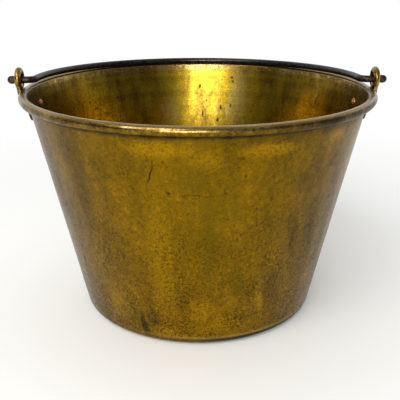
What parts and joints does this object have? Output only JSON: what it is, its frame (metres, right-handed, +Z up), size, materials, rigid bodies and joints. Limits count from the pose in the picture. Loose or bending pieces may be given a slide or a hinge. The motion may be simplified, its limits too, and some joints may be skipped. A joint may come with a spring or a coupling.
{
  "type": "brass bucket",
  "caption": "Tapered spun-brass bucket with a flat base, a rim rolled over a wire, riveted brass ears and an iron bail that swings over the mouth.",
  "frame": {"origin": "on the floor under the middle of the base", "axes": "+Z up through the mouth, +X towards the right ear, +Y towards the back, where the bail rests"},
  "size_m": [0.33, 0.305, 0.212],
  "materials": {
    "shell_brass": "aged, tarnished, half polished",
    "ear_brass": "cast, rubbed bright",
    "rivet_copper": "worn copper",
    "wire_iron": "bare drawn wire",
    "bail_iron": "dark, worn smooth, a little rust"
  },
  "bodies": {
    "bucket": {"bucket_shell": "shell_brass", "rim_wire": "wire_iron", "left_ear": "ear_brass", "right_ear": "ear_brass", "left_front_rivet": "rivet_copper", "left_rear_rivet": "rivet_copper", "right_front_rivet": "rivet_copper", "right_rear_rivet": "rivet_copper"},
    "bail": {"bail_handle": "bail_iron"}
  },
  "joints": [
    {"name": "bail_swing", "type": "hinge", "parent": "bucket", "child": "bail", "pos_m": [0, 0, 0.20125], "axis": [1, 0, 0], "range_deg": [0, 183.28]}
  ]
}
